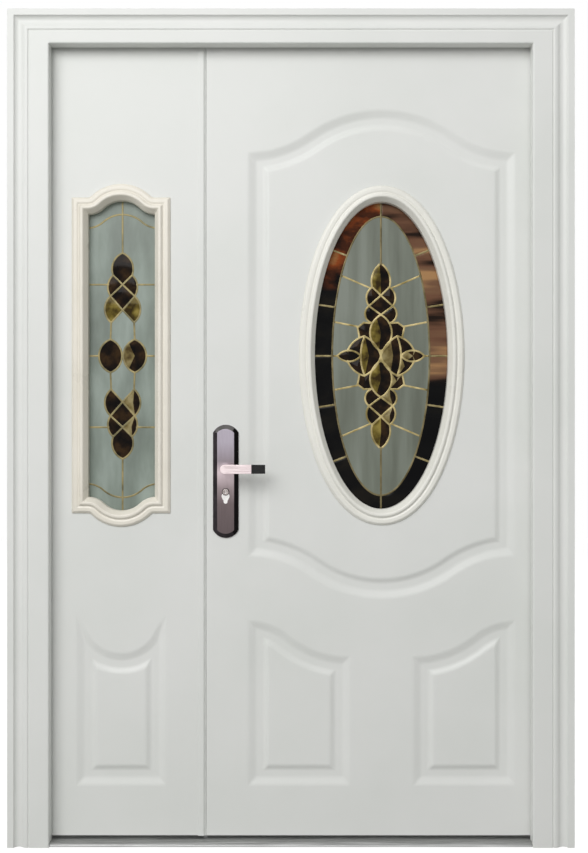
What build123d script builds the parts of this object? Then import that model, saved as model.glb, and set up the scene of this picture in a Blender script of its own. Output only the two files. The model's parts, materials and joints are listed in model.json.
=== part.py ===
from build123d import *
import math
import os

os.makedirs("parts", exist_ok=True)

# Pressed steel double door, one wide leaf and one narrow leaf in a moulded frame.
# Millimetres. X runs to the right seen from the street, the street side faces -Y,
# Z is up, and the origin is the middle of the sill's underside.

# Frame: sheet pressed to a C section that is open towards the wall.
DOOR_WIDTH = 1400.0
DOOR_HEIGHT = 2070.0
FRAME_SHEET = 2.0
JAMB_FACE = 103.0
HEAD_FACE = 86.0
STOP_LIP = 18.0
FRAME_PROUD = 40.0
STOP_SPACE = 9.0
BEAD_FLAT = 16.0
COVE_RUN = 12.0
COVE_DEPTH = 8.0
OGEE_RUN = 20.0
QUIRK_START = 50.0
QUIRK_WIDTH = 5.0
QUIRK_DEPTH = 2.5
FRAME_EDGE_R = 4.0
WALL_LIP = 18.0
SILL_HEIGHT = 10.0
SILL_NOSE = 5.0
SILL_BEVEL = 8.0
ANCHOR_HEIGHT = 70.0
ANCHOR_HOLE_R = 6.0
ANCHOR_LOW = 320.0
ANCHOR_PITCH = 470.0
ANCHOR_COUNT = 4
SEAL_WIDTH = 10.0
SEAL_THICK = 4.0
SEAL_INSET = 4.0

# Leaves: two pressed pans back to back round a filling.
LEAF_THICK = 50.0
LEAF_GAP = 5.0
SKIN = 1.0
NARROW_LEAF = 382.0
MEETING_GAP = 5.3
SIDE_UNDERCUT = 1.8
MAIN_UNDERCUT = 4.2
CORE_EDGE = 2.0
GROOVE_DEPTH = 6.0
GROOVE_OUTER = 18.0
GROOVE_FLAT = 20.0
GROOVE_INNER = 11.0

# Embossed panels, set between stiles that stay as wide as they are.
LOCK_STILE = 106.35
HINGE_STILE = 37.0
BIG_LOW = 716.0
BIG_HIGH = 1724.0
BIG_RISE = 107.0
BIG_SHARE = 0.45
PANEL_LOW = 142.0
LOWER_INNER = 80.0
LOWER_HIGH = 552.0
LOWER_FALL = 90.0
LOWER_SHARE = 0.6
SIDE_HINGE_STILE = 61.0
SIDE_LOCK_STILE = 96.35
SCOOP_LOW = 471.0
SCOOP_ANGLE = 66.0
EAR_RUN = 25.0
EAR_EASE = 0.62
EAR_FADE = 30.0

# Windows: leaded glass held between a front and a back moulding.
WINDOW_Z = 1217.0
OVAL_A = 167.0
OVAL_B = 385.0
ARCH_HALF = 83.5
ARCH_CORNER = 355.0
ARCH_RISE = 34.0
ARCH_SHARE = 0.45
MOULDING_WIDTH = 40.0
MOULDING_LEG = 13.0
MOULDING_PROUD = 12.0
MOULDING_EDGE = 2.0
MOULDING_LIP = 4.0
BEAD_START = 9.0
BEAD_END = 19.0
BEAD_EASE = 2.5
VALLEY_AT = 22.0
VALLEY_PROUD = 6.0
STEP_START = 26.0
STEP_END = 34.0
STEP_PROUD = 8.0
CUTOUT_CLEAR = 1.5
CAME_THICK = 7.0
CAME_WIDTH = 4.5
PATTERN_UNIT = 1.0
SMALLEST_CELL = 40.0
GLASS_THICK = 5.0
RIM_START = 1.0
RIM_END = 10.0
BORDER_A = 122.7
BORDER_B = 351.7
BORDER_TIES = ((268.0, 253.0), (130.0, 123.0))
FIELD_TIES = (203.0, 86.0)
ARCH_CAME_DROP = 32.0
ARCH_TIE = 180.0
OPEN_CELL = 116.0

# Lock set.
BACKSET = 49.35
PLATE_WIDTH = 64.0
PLATE_HEIGHT = 283.0
PLATE_Z = 902.0
PLATE_THICK = 10.0
PLATE_RIM = 3.0
PLATE_BEVEL = 11.0
PLATE_CROWN = 20.0
LEVER_Z = 934.0
COLLAR_R = 14.0
COLLAR_THICK = 4.0
NECK_R = 9.5
LEVER_FIT = 0.08
LEVER_HEIGHT = 22.0
LEVER_REACH = 100.0
LEVER_TIP = 34.0
LEVER_STAND = 45.0
LEVER_THICK = 14.0
LEVER_TAPER = 3.0
LEVER_ROUND = 3.0
SPINDLE_SIDE = 8.0
SPINDLE_HALF = 42.0
SPINDLE_FIT = 0.1
LEVER_HOLE_R = 12.0
CYLINDER_Z = 876.0
CYLINDER_R = 8.5
CYLINDER_WEB = 10.0
CYLINDER_DROP = 29.5
CYLINDER_PROUD = 2.0
CYLINDER_FIT = 0.15
KEYWAY_WIDTH = 2.4
KEYWAY_HEIGHT = 9.0
KEYWAY_DEPTH = 8.0
TURN_BASE = 4.0
TURN_LENGTH = 30.0
TURN_THICK = 7.0
TURN_STAND = 16.0
EDGE_PLATE_WIDTH = 24.0
EDGE_PLATE_THICK = 3.0
EDGE_PLATE_HEIGHT = 240.0
EDGE_PLATE_FIT = 0.15
LATCH_HEIGHT = 20.0
LATCH_WIDTH = 12.0
BOLT_R = 7.0
BOLT_PITCH = 22.0
BOLT_COUNT = 3
BOLT_DROP = 40.0
BOLT_LENGTH = 15.0
BOLT_FIT = 0.2
LOCK_POCKET = 75.0
FLUSH_BOLT_HEIGHT = 160.0
FLUSH_BOLT_WIDTH = 20.0
FLUSH_BOLT_INSET = 130.0
FLUSH_SLOT_WIDTH = 10.0
FLUSH_SLOT_HEIGHT = 60.0
STRIP_WIDTH = 15.0
STRIP_PROUD = 2.0
STRIP_TOP_CLEAR = 6.0
MEETING_SEAL_Y = 18.0
MEETING_SEAL_WIDTH = 8.0
SWING_CLEAR = 0.8

# Hinges: lift-off barrels on the room side.
BARREL_R = 7.0
BARREL_LENGTH = 58.0
BARREL_GAP = 0.3
PIN_R = 5.0
PIN_LENGTH = 48.0
PIN_FIT = 0.06
STRAP_LENGTH = 45.0
STRAP_THICK = 3.0
HINGE_HEIGHTS = (235.0, 1010.0, 1770.0)

# Places worked out from the sizes above.
LEAF_FRONT = -LEAF_THICK / 2
LEAF_BACK = LEAF_THICK / 2
FRAME_FRONT = LEAF_FRONT - FRAME_PROUD
STOP_BACK = LEAF_FRONT - STOP_SPACE
FRAME_BACK = LEAF_BACK
HALF_WIDTH = DOOR_WIDTH / 2
JAMB_EDGE = HALF_WIDTH - JAMB_FACE
REBATE_X = JAMB_EDGE + STOP_LIP
HEAD_EDGE = DOOR_HEIGHT - HEAD_FACE
REBATE_Z = HEAD_EDGE + STOP_LIP
LEAF_LOW = SILL_HEIGHT + LEAF_GAP
LEAF_HIGH = REBATE_Z - LEAF_GAP
HINGE_EDGE = REBATE_X - LEAF_GAP
HINGE_X = (REBATE_X + HINGE_EDGE) / 2
HINGE_Y = LEAF_BACK + BARREL_R
MEETING_LINE = NARROW_LEAF - JAMB_EDGE
MAIN_EDGE = MEETING_LINE + MEETING_GAP / 2
SIDE_EDGE = MEETING_LINE - MEETING_GAP / 2
BIG_LEFT = MAIN_EDGE + LOCK_STILE
BIG_RIGHT = JAMB_EDGE - HINGE_STILE
MAIN_AXIS = (BIG_LEFT + BIG_RIGHT) / 2
SIDE_LEFT = SIDE_HINGE_STILE - JAMB_EDGE
SIDE_RIGHT = SIDE_EDGE - SIDE_LOCK_STILE
SIDE_AXIS = (SIDE_LEFT + SIDE_RIGHT) / 2
LOCK_X = MAIN_EDGE + BACKSET
CORE_HALF = LEAF_THICK / 2 - GROOVE_DEPTH - SKIN


def at_y(y):
    """The upright plane at depth y, drawn in X and Z and seen from the street."""
    return Plane.XZ.offset(-y)


def slab(face, y_front, y_back):
    """A face drawn in X and Z, made solid from y_front to y_back."""
    return extrude(at_y(y_back) * face, amount=y_back - y_front)


def upright(face, low, high):
    """A face drawn in X and Y, made solid from height low to height high."""
    return extrude(Pos(0, 0, low) * face, amount=high - low)


def block(x0, x1, y0, y1, z0, z1):
    """A box between two corners."""
    return Pos(x0, y0, z0) * Box(x1 - x0, y1 - y0, z1 - z0, align=(Align.MIN,) * 3)


def polygon(*points):
    return make_face(Polyline(*points, close=True))


def ogee(start, end, share):
    """Two tangent arcs, level at both ends, with share of the run in the first."""
    first = Vector(*start)
    last = Vector(*end)
    middle = first + (last - first) * share
    way = 1 if last.X > first.X else -1
    return [TangentArc(first, middle, tangent=(way, 0)), TangentArc(last, middle, tangent=(-way, 0))]


def save(name, shape):
    """Writes one node, as a plain list of its solids."""
    solids = shape.solids() if hasattr(shape, "solids") else [s for part in shape for s in part.solids()]
    whole = solids[0] if len(solids) == 1 else Compound(children=list(solids))
    export_step(whole, f"parts/{name}.step")


# Frame

def frame_section(face):
    """The pressed section, from the wall inwards, with its moulded front."""
    cove_end = BEAD_FLAT + COVE_RUN
    cove_floor = FRAME_FRONT + COVE_DEPTH
    ogee_end = cove_end + OGEE_RUN
    quirk_end = QUIRK_START + QUIRK_WIDTH
    outline = make_face([
        Line((0, FRAME_FRONT), (BEAD_FLAT, FRAME_FRONT)),
        TangentArc((cove_end, cove_floor), (BEAD_FLAT, FRAME_FRONT), tangent=(-1, 0)),
        *ogee((cove_end, cove_floor), (ogee_end, FRAME_FRONT), 0.5),
        Polyline(
            (ogee_end, FRAME_FRONT),
            (QUIRK_START, FRAME_FRONT),
            (QUIRK_START + QUIRK_WIDTH / 2, FRAME_FRONT + QUIRK_DEPTH),
            (quirk_end, FRAME_FRONT),
            (face - FRAME_EDGE_R, FRAME_FRONT),
        ),
        TangentArc((face - FRAME_EDGE_R, FRAME_FRONT), (face, FRAME_FRONT + FRAME_EDGE_R), tangent=(1, 0)),
        Polyline(
            (face, FRAME_FRONT + FRAME_EDGE_R),
            (face, STOP_BACK),
            (face - STOP_LIP, STOP_BACK),
            (face - STOP_LIP, FRAME_BACK),
            (0, FRAME_BACK),
            (0, FRAME_FRONT),
        ),
    ])
    hollow = offset(outline, -FRAME_SHEET, kind=Kind.INTERSECTION)
    throat = polygon(
        (0, FRAME_FRONT + WALL_LIP),
        (FRAME_SHEET, FRAME_FRONT + WALL_LIP),
        (FRAME_SHEET, FRAME_BACK - WALL_LIP),
        (0, FRAME_BACK - WALL_LIP),
    )
    return outline - hollow - throat


def head_outline():
    """What the head covers seen from the front: mitred moulding and a stop between the jambs."""
    mitre = HALF_WIDTH - (DOOR_HEIGHT - REBATE_Z)
    right = [
        (HALF_WIDTH, DOOR_HEIGHT),
        (mitre, REBATE_Z),
        (JAMB_EDGE, REBATE_Z),
        (JAMB_EDGE, HEAD_EDGE),
    ]
    left = [(-x, z) for x, z in reversed(right)]
    return polygon(*right, *left)


def build_frame():
    head_prism = slab(head_outline(), FRAME_FRONT, FRAME_BACK)
    jamb = upright(Pos(-HALF_WIDTH, 0) * frame_section(JAMB_FACE), 0, DOOR_HEIGHT) - head_prism
    head_plane = Plane(origin=(-HALF_WIDTH, 0, DOOR_HEIGHT), x_dir=(0, 0, -1), z_dir=(1, 0, 0))
    head = extrude(head_plane * frame_section(HEAD_FACE), amount=DOOR_WIDTH) & head_prism
    save("left_jamb", jamb)
    save("right_jamb", mirror(jamb, about=Plane.YZ))
    save("frame_head", head)


def build_sill():
    nose = FRAME_FRONT + SILL_NOSE
    profile = polygon(
        (nose, 0),
        (nose, SILL_HEIGHT / 2),
        (nose + SILL_BEVEL, SILL_HEIGHT),
        (FRAME_BACK, SILL_HEIGHT),
        (FRAME_BACK, 0),
    )
    end = Plane(origin=(-JAMB_EDGE, 0, 0), x_dir=(0, 1, 0), z_dir=(1, 0, 0))
    tread = extrude(end * profile, amount=2 * JAMB_EDGE)
    save("sill", tread + block(-REBATE_X, REBATE_X, STOP_BACK, FRAME_BACK, 0, SILL_HEIGHT))


def build_anchors():
    """Drilled straps across the open back of each jamb, flush with the wall face."""
    y0 = FRAME_FRONT + WALL_LIP
    y1 = FRAME_BACK - WALL_LIP
    straps = []
    for row in range(ANCHOR_COUNT):
        z = ANCHOR_LOW + row * ANCHOR_PITCH
        strap = block(0, FRAME_SHEET, y0, y1, z - ANCHOR_HEIGHT / 2, z + ANCHOR_HEIGHT / 2)
        drill = Pos(FRAME_SHEET / 2, (y0 + y1) / 2, z) * Rot(0, 90, 0) * Cylinder(ANCHOR_HOLE_R, 2 * FRAME_SHEET)
        left = Pos(-HALF_WIDTH, 0, 0) * (strap - drill)
        straps += [left, mirror(left, about=Plane.YZ)]
    save("anchor_plates", straps)


def build_rebate_seal():
    """Rubber strips on the back of the stops."""
    outer = JAMB_EDGE + SEAL_INSET
    y1 = STOP_BACK + SEAL_THICK
    low = HEAD_EDGE + SEAL_INSET
    upright_strip = block(outer, outer + SEAL_WIDTH, STOP_BACK, y1, SILL_HEIGHT, low + SEAL_WIDTH)
    head_strip = block(-outer, outer, STOP_BACK, y1, low, low + SEAL_WIDTH)
    save("rebate_seal", [upright_strip, mirror(upright_strip, about=Plane.YZ), head_strip])


# Leaves

def leaf_edges(side):
    """Left and right edges of a leaf, each as its X at the front and at the back."""
    if side == "main":
        return (MAIN_EDGE, MAIN_EDGE + MAIN_UNDERCUT), (HINGE_EDGE, HINGE_EDGE)
    return (-HINGE_EDGE, -HINGE_EDGE), (SIDE_EDGE, SIDE_EDGE - SIDE_UNDERCUT)


def edge_at(edge, y):
    """X of an undercut leaf edge at depth y."""
    return edge[0] + (edge[1] - edge[0]) * (y - LEAF_FRONT) / LEAF_THICK


def pan_plan(side, face, inset):
    """Half a leaf seen from above, from its middle to the front or back face."""
    left, right = leaf_edges(side)
    out = face * (LEAF_THICK / 2 - inset)
    return polygon(
        (edge_at(left, 0) + inset, 0),
        (edge_at(left, out) + inset, out),
        (edge_at(right, out) - inset, out),
        (edge_at(right, 0) - inset, 0),
    )


def moved_in(outline, inset):
    """An outline drawn in by a distance, with its corners kept sharp."""
    return offset(outline, -inset, kind=Kind.INTERSECTION).face() if inset else outline.face()


def big_panel(inset):
    """The wide leaf's upper panel, with a wave at its top and its foot."""
    crown = (MAIN_AXIS, BIG_HIGH + BIG_RISE)
    foot = (MAIN_AXIS, BIG_LOW - BIG_RISE)
    return moved_in(make_face([
        Line((BIG_LEFT, BIG_LOW), (BIG_LEFT, BIG_HIGH)),
        *ogee((BIG_LEFT, BIG_HIGH), crown, BIG_SHARE),
        *ogee(crown, (BIG_RIGHT, BIG_HIGH), 1 - BIG_SHARE),
        Line((BIG_RIGHT, BIG_HIGH), (BIG_RIGHT, BIG_LOW)),
        *ogee((BIG_RIGHT, BIG_LOW), foot, BIG_SHARE),
        *ogee(foot, (BIG_LEFT, BIG_LOW), 1 - BIG_SHARE),
    ]), inset)


def lower_panel(outer_x, inset):
    """One of the wide leaf's two lower panels, from its outer edge towards the leaf's axis."""
    hand = 1 if outer_x > MAIN_AXIS else -1
    inner = (MAIN_AXIS + hand * LOWER_INNER, LOWER_HIGH - LOWER_FALL)
    outer = (outer_x, LOWER_HIGH)
    foot = Polyline(inner, (inner[0], PANEL_LOW), (outer_x, PANEL_LOW), outer)
    return moved_in(make_face([foot, *ogee(inner, outer, LOWER_SHARE)]), inset)


def left_lower_panel(inset):
    return lower_panel(BIG_LEFT, inset)


def right_lower_panel(inset):
    return lower_panel(BIG_RIGHT, inset)


def side_panel(inset):
    """The narrow leaf's panel: its top is scooped out, and its corners flare beside the scoop."""
    half = (SIDE_RIGHT - SIDE_LEFT) / 2
    scoop_r = (half - EAR_RUN) / math.sin(math.radians(SCOOP_ANGLE))
    ear = EAR_RUN * max(0.0, 1 - inset / EAR_FADE)
    half -= inset
    join_x = half - ear
    below = math.sqrt((scoop_r + inset) ** 2 - join_x ** 2)
    join_z = SCOOP_LOW + scoop_r - below
    slope = join_x / below
    tip_z = join_z + EAR_EASE * slope * ear
    low = PANEL_LOW + inset
    edges = [
        ThreePointArc((-join_x, join_z), (0, SCOOP_LOW - inset), (join_x, join_z)),
        Polyline((-half, tip_z), (-half, low), (half, low), (half, tip_z)),
    ]
    if ear:
        for hand in (-1, 1):
            join = (hand * join_x, join_z)
            edges.append(TangentArc(join, (hand * half, tip_z), tangent=(hand, slope)))
    return (Pos(SIDE_AXIS, 0) * make_face(edges)).face()


def groove(panel, face, sink):
    """The pressed channel round a panel: slope down, flat floor, slope up to the field."""
    top = face * (LEAF_THICK / 2 - sink)
    floor = top - face * GROOVE_DEPTH
    field = GROOVE_OUTER + GROOVE_FLAT + GROOVE_INNER

    def ring(inset, y):
        return at_y(y) * panel(inset)

    basin = loft([ring(0, top), ring(GROOVE_OUTER, floor)], ruled=True)
    plateau = loft([ring(field, top), ring(field - GROOVE_INNER, floor)], ruled=True)
    return basin - plateau


def oval(grow):
    """The oval window, grown outwards from the edge of the visible glass."""
    return Pos(MAIN_AXIS, WINDOW_Z) * Ellipse(OVAL_A + grow, OVAL_B + grow)


def arch_edges():
    """Edges of the arched window's visible glass, about the window's middle."""
    edges = []
    for up in (1, -1):
        corner = up * ARCH_CORNER
        crown = (0, up * (ARCH_CORNER + ARCH_RISE))
        edges += ogee((-ARCH_HALF, corner), crown, ARCH_SHARE)
        edges += ogee(crown, (ARCH_HALF, corner), 1 - ARCH_SHARE)
    for hand in (-1, 1):
        edges.append(Line((hand * ARCH_HALF, -ARCH_CORNER), (hand * ARCH_HALF, ARCH_CORNER)))
    return edges


def arch(grow):
    """The arched window, grown outwards from the edge of the visible glass."""
    glass = make_face(arch_edges())
    shape = offset(glass, grow, kind=Kind.INTERSECTION) if grow else glass
    return Pos(SIDE_AXIS, WINDOW_Z) * shape


WINDOW = {"main": oval, "side": arch}
PANELS = {"main": [big_panel, left_lower_panel, right_lower_panel], "side": [side_panel]}
CUTOUT = MOULDING_LEG + CUTOUT_CLEAR


def euro_profile(grow):
    """Front outline of the lock cylinder: a round barrel over a narrow web."""
    barrel = Pos(LOCK_X, CYLINDER_Z) * Circle(CYLINDER_R + grow)
    web_foot = CYLINDER_Z - CYLINDER_DROP + CYLINDER_WEB / 2
    web = polygon(
        (LOCK_X - CYLINDER_WEB / 2 - grow, CYLINDER_Z),
        (LOCK_X + CYLINDER_WEB / 2 + grow, CYLINDER_Z),
        (LOCK_X + CYLINDER_WEB / 2 + grow, web_foot),
        (LOCK_X - CYLINDER_WEB / 2 - grow, web_foot),
    )
    return barrel + web + Pos(LOCK_X, web_foot) * Circle(CYLINDER_WEB / 2 + grow)


def lock_holes(grow):
    """Holes through the wide leaf for the lever's spindle and the cylinder."""
    return Pos(LOCK_X, LEVER_Z) * Circle(LEVER_HOLE_R + grow) + euro_profile(CYLINDER_FIT + grow)


def edge_plate(side, width, low, high, fit):
    """A plate let in flush with a leaf's meeting edge."""
    left, right = leaf_edges(side)
    edge = left if side == "main" else right
    inward = 1 if side == "main" else -1
    half = width / 2 + fit
    plan = polygon(
        (edge_at(edge, -half), -half),
        (edge_at(edge, -half) + inward * EDGE_PLATE_THICK, -half),
        (edge_at(edge, half) + inward * EDGE_PLATE_THICK, half),
        (edge_at(edge, half), half),
    )
    return upright(plan, low - fit, high + fit)


FACEPLATE = (EDGE_PLATE_WIDTH, PLATE_Z - EDGE_PLATE_HEIGHT / 2, PLATE_Z + EDGE_PLATE_HEIGHT / 2)
FLUSH_BOLTS = [
    (FLUSH_BOLT_WIDTH, LEAF_LOW + FLUSH_BOLT_INSET, LEAF_LOW + FLUSH_BOLT_INSET + FLUSH_BOLT_HEIGHT),
    (FLUSH_BOLT_WIDTH, LEAF_HIGH - FLUSH_BOLT_INSET - FLUSH_BOLT_HEIGHT, LEAF_HIGH - FLUSH_BOLT_INSET),
]
EDGE_PLATES = {"main": [FACEPLATE], "side": [FACEPLATE, *FLUSH_BOLTS]}


def pan(side, face):
    """One pressed skin of a leaf, face -1 to the street and 1 to the room."""
    outer = upright(pan_plan(side, face, 0), LEAF_LOW, LEAF_HIGH)
    inner = upright(pan_plan(side, face, SKIN), LEAF_LOW + SKIN, LEAF_HIGH - SKIN)
    for panel in PANELS[side]:
        outer -= groove(panel, face, 0)
        inner -= groove(panel, face, SKIN)
    skin = outer - inner - slab(WINDOW[side](CUTOUT), LEAF_FRONT, LEAF_BACK)
    if side == "main":
        skin -= slab(lock_holes(0), LEAF_FRONT, LEAF_BACK)
    for width, low, high in EDGE_PLATES[side]:
        skin -= edge_plate(side, width, low, high, EDGE_PLATE_FIT)
    return skin


def core(side):
    """Filling between the skins, left out round the lock and the edge plates."""
    left, right = leaf_edges(side)
    margin = SKIN + CORE_EDGE
    x0 = max(left) + margin
    x1 = min(right) - margin
    filling = block(x0, x1, -CORE_HALF, CORE_HALF, LEAF_LOW + margin, LEAF_HIGH - margin)
    filling -= slab(WINDOW[side](CUTOUT), LEAF_FRONT, LEAF_BACK)
    for width, low, high in EDGE_PLATES[side]:
        deep = LOCK_POCKET if side == "main" else EDGE_PLATE_THICK + BOLT_LENGTH
        reach = (MAIN_EDGE, MAIN_EDGE + deep) if side == "main" else (SIDE_EDGE - deep, SIDE_EDGE)
        filling -= block(*reach, LEAF_FRONT, LEAF_BACK, low - CORE_EDGE, high + CORE_EDGE)
    return filling


def moulding_section():
    """Section of a window moulding, u outwards from the glass edge and v out of the leaf:
    a leg down to the glass, an inner bead, a valley and a lower outer step."""
    leg = -(LEAF_THICK - CAME_THICK) / 2
    return polygon(
        (MOULDING_LEG, 0),
        (MOULDING_LEG, leg),
        (0, leg),
        (0, -MOULDING_LIP),
        (BEAD_START, MOULDING_PROUD - BEAD_EASE),
        (BEAD_START + BEAD_EASE, MOULDING_PROUD),
        (BEAD_END - BEAD_EASE, MOULDING_PROUD),
        (BEAD_END, MOULDING_PROUD - BEAD_EASE),
        (VALLEY_AT, VALLEY_PROUD),
        (STEP_START, STEP_PROUD),
        (STEP_END, STEP_PROUD),
        (MOULDING_WIDTH, MOULDING_EDGE),
        (MOULDING_WIDTH, 0),
    )


def front_moulding(side):
    """The street-side moulding, swept round the edge of the visible glass."""
    plane = at_y(LEAF_FRONT)
    if side == "main":
        path = (plane * Pos(MAIN_AXIS, WINDOW_Z) * Ellipse(OVAL_A, OVAL_B)).wire()
        start = Plane(origin=(MAIN_AXIS + OVAL_A, LEAF_FRONT, WINDOW_Z), x_dir=(1, 0, 0), z_dir=(0, 0, 1))
        return sweep(start * mirror(moulding_section(), about=Plane.XZ), path=path)
    path = (plane * Pos(SIDE_AXIS, WINDOW_Z) * make_face(arch_edges())).wire()
    start = Plane(origin=(SIDE_AXIS + ARCH_HALF, LEAF_FRONT, WINDOW_Z), x_dir=(1, 0, 0), z_dir=(0, 0, 1))
    section = start * mirror(moulding_section(), about=Plane.XZ)
    return sweep(section, path=path, transition=Transition.RIGHT)


def border_x(z, a, b):
    """Half width of an ellipse at height z."""
    return a * math.sqrt(max(0.0, 1 - (z / b) ** 2))


def quarter(hand, up):
    """Makers of points, lines and arcs in one quarter of a lead pattern."""
    def point(x, z):
        return (hand * x * PATTERN_UNIT, up * z * PATTERN_UNIT)

    def line(a, b):
        return Line(point(*a), point(*b))

    def arc(a, b, c):
        return ThreePointArc(point(*a), point(*b), point(*c))

    return point, line, arc


def oval_strokes():
    """Lead lines of the oval, about its middle: border ties, field ties and bevel cluster."""
    strokes = []
    for hand in (1, -1):
        for up in (1, -1):
            point, line, arc = quarter(hand, up)
            for outer_z, inner_z in BORDER_TIES:
                rim = (hand * (border_x(outer_z, OVAL_A, OVAL_B) + RIM_END / 2), up * outer_z)
                strokes.append(Line(rim, (hand * border_x(inner_z, BORDER_A, BORDER_B), up * inner_z)))
            for border_z, tip in zip(FIELD_TIES, ((26, 171), (57, 74))):
                border = (hand * border_x(border_z, BORDER_A, BORDER_B), up * border_z)
                strokes.append(Line(border, point(*tip)))
            strokes += [
                arc((0, 234), (22.5, 200), (22, 174)),
                arc((22, 174), (35.5, 155), (30, 126)),
                arc((30, 126), (40, 106), (22, 83)),
                arc((0, 104), (27.5, 60), (0, 12.5)),
                arc((0, 0), (14, 28), (42, 50)),
                arc((42, 50), (66, 38), (84, 13)),
                arc((110, 0), (82, 14), (51, 0)),
                line((0, 153), (22, 174)),
                line((0, 153), (30, 126)),
                line((30, 126), (0, 104)),
                line((22, 83), (43, 84)),
                line((43, 84), (59, 72)),
                line((59, 72), (54, 46)),
            ]
        point, line, arc = quarter(hand, 1)
        strokes.append(arc((41, 50), (51, 0), (41, -50)))
        strokes.append(Line(point(110, 0), (hand * (OVAL_A + RIM_END / 2), 0)))
    for up in (1, -1):
        strokes.append(Line((0, up * 234 * PATTERN_UNIT), (0, up * (OVAL_B + RIM_END / 2))))
    return strokes


def arch_strokes():
    """Lead lines of the arched window, about its middle."""
    strokes = []
    side_end = ARCH_HALF + RIM_END / 2
    for up in (1, -1):
        for hand in (1, -1):
            point, line, arc = quarter(hand, up)
            strokes += [
                arc((0, 260), (26.5, 225), (24, 204)),
                arc((24, 204), (37, ARCH_TIE), (30.5, 151)),
                arc((30.5, 151), (45, 122), (29, 84)),
                line((0, 180), (24, 204)),
                line((0, 180), (30.5, 151)),
                line((30.5, 151), (0, OPEN_CELL)),
                line((0, OPEN_CELL), (29, 84)),
                line((29, 84), (30.5, 42)),
                Line(point(36, ARCH_TIE), (hand * side_end, up * ARCH_TIE * PATTERN_UNIT)),
            ]
        foot = up * (ARCH_CORNER - ARCH_CAME_DROP)
        crown = (0, up * (ARCH_CORNER + ARCH_RISE - ARCH_CAME_DROP))
        strokes += ogee((-side_end, foot), crown, ARCH_SHARE)
        strokes += ogee(crown, (side_end, foot), 1 - ARCH_SHARE)
        rim_z = ARCH_CORNER + ARCH_RISE + RIM_END / 2
        strokes.append(Line((0, up * 260 * PATTERN_UNIT), (0, up * rim_z)))
    for hand in (1, -1):
        point, line, arc = quarter(hand, 1)
        strokes += [arc((30.5, 42), (bulge, 0), (30.5, -42)) for bulge in (60, 1.5)]
        strokes.append(Line(point(60, 0), (hand * side_end, 0)))
    return strokes


def came_band(edge):
    """A flat strip along a lead line, as wide as the came, run on a little so that joints close."""
    half = CAME_WIDTH / 2
    start = edge @ 0 - (edge % 0) * half
    end = edge @ 1 + (edge % 1) * half
    if edge.geom_type == GeomType.LINE:
        along = edge % 0
        across = Vector(-along.Y, along.X) * half
        return polygon(start + across, end + across, end - across, start - across)

    def on(point, radius):
        return edge.arc_center + (point - edge.arc_center).normalized() * radius

    middle = edge @ 0.5
    outer = edge.radius + half
    inner = edge.radius - half
    return make_face([
        ThreePointArc(on(start, outer), on(middle, outer), on(end, outer)),
        Line(on(end, outer), on(end, inner)),
        ThreePointArc(on(end, inner), on(middle, inner), on(start, inner)),
        Line(on(start, inner), on(start, outer)),
    ])


def leaded_panel(side):
    """Came network and glass cells of one window, both drawn in X and Z."""
    centre = Pos(MAIN_AXIS, WINDOW_Z) if side == "main" else Pos(SIDE_AXIS, WINDOW_Z)
    window = WINDOW[side]
    lines = oval_strokes() if side == "main" else arch_strokes()
    edges = [edge for line in lines for edge in line.edges()]
    cames = [came_band(edge) for edge in edges]
    if side == "main":
        half = CAME_WIDTH / 2
        cames.append(Ellipse(BORDER_A + half, BORDER_B + half) - Ellipse(BORDER_A - half, BORDER_B - half))
    glass = window(RIM_START) - [centre * came for came in cames]
    cells = [cell for cell in glass.faces() if cell.area > SMALLEST_CELL]
    return window(RIM_END) - cells, cells


def glass_kind(side, cell):
    """Which glass a cell is cut from: the dark border, the clear bevels or the frosted field."""
    axis = MAIN_AXIS if side == "main" else SIDE_AXIS
    places = [(v.X - axis, v.Y - WINDOW_Z) for v in cell.vertices()]
    if side == "side":
        wide = any(abs(x) > ARCH_HALF - CAME_WIDTH or abs(z) > ARCH_CORNER - ARCH_CAME_DROP for x, z in places)
        middle = cell.center()
        open_x = abs(middle.X - axis) < CAME_WIDTH
        open_z = abs(middle.Y - WINDOW_Z) < OPEN_CELL * PATTERN_UNIT
        return "frosted" if wide or (open_x and open_z) else "bevel"
    reach = max((x / BORDER_A) ** 2 + (z / BORDER_B) ** 2 for x, z in places)
    if reach > 1.02:
        return "border"
    return "frosted" if reach > 0.9 else "bevel"


def build_leaf(side):
    save(f"{side}_front_skin", pan(side, -1))
    save(f"{side}_back_skin", pan(side, 1))
    save(f"{side}_core", core(side))
    window = "oval" if side == "main" else "arch"
    moulding = front_moulding(side)
    save(f"{window}_front_moulding", moulding)
    save(f"{window}_back_moulding", mirror(moulding, about=Plane.XZ))
    network, cells = leaded_panel(side)
    save(f"{window}_cames", slab(network, -CAME_THICK / 2, CAME_THICK / 2))
    kinds = {}
    for cell in cells:
        kinds.setdefault(glass_kind(side, cell), []).append(slab(cell, -GLASS_THICK / 2, GLASS_THICK / 2))
    names = {"frosted": "frosted_glass", "border": "border_glass", "bevel": "bevels"}
    for kind, panes in kinds.items():
        save(f"{window}_{names[kind]}", panes)


# Lock set

def plate_outline(inset):
    """Long plate with a flat arch at each end."""
    half = PLATE_WIDTH / 2 - inset
    spring = PLATE_HEIGHT / 2 - PLATE_CROWN
    crown = PLATE_HEIGHT / 2 - inset
    top = ThreePointArc((-half, spring), (0, crown), (half, spring))
    foot = ThreePointArc((-half, -spring), (0, -crown), (half, -spring))
    sides = [Line((hand * half, -spring), (hand * half, spring)) for hand in (-1, 1)]
    return Pos(LOCK_X, PLATE_Z) * make_face([top, foot, *sides])


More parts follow.
